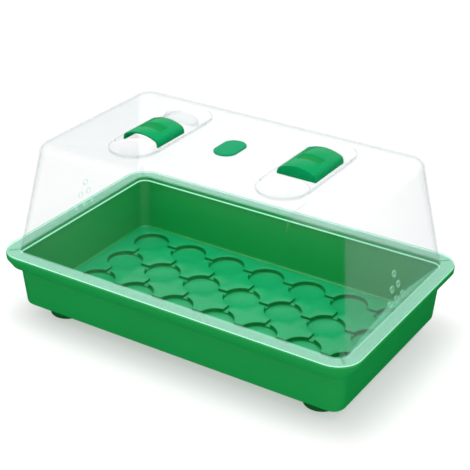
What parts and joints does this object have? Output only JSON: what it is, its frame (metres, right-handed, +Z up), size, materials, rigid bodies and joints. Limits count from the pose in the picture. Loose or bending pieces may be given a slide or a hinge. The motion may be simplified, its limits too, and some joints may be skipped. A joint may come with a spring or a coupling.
{
  "type": "humidity dome tray",
  "caption": "Small seed propagator: a green tray with wells in its floor and feet under it, and a clear lift-off dome with sliding vents.",
  "frame": {"origin": "middle of the ground under the four feet", "axes": "+X along the tray, +Y across it towards the back, +Z up"},
  "size_m": [0.38, 0.234, 0.1922],
  "materials": {
    "tray_plastic": "satin moulded green plastic",
    "foot_plastic": "dark green moulded plastic",
    "dome_sheet": "clear formed sheet, frosted on the flange",
    "slider_plastic": "glossy green moulded plastic",
    "badge_plastic": "plain glossy green oval"
  },
  "bodies": {
    "tray": {"tray": "tray_plastic", "foot_front_left": "foot_plastic", "foot_front_right": "foot_plastic", "foot_rear_left": "foot_plastic", "foot_rear_right": "foot_plastic"},
    "dome": {"dome": "dome_sheet", "badge": "badge_plastic"},
    "slider_left": {"vent_slider_left": "slider_plastic"},
    "slider_right": {"vent_slider_right": "slider_plastic"}
  },
  "joints": [
    {"name": "dome_lift", "type": "slide", "parent": "tray", "child": "dome", "axis": [0, 0, 1], "range_m": [0, 0.15]},
    {"name": "left_vent", "type": "slide", "parent": "dome", "child": "slider_left", "axis": [0, 1, 0], "range_m": [-0.0065, 0.0295]},
    {"name": "right_vent", "type": "slide", "parent": "dome", "child": "slider_right", "axis": [0, 1, 0], "range_m": [-0.0195, 0.0005]}
  ]
}
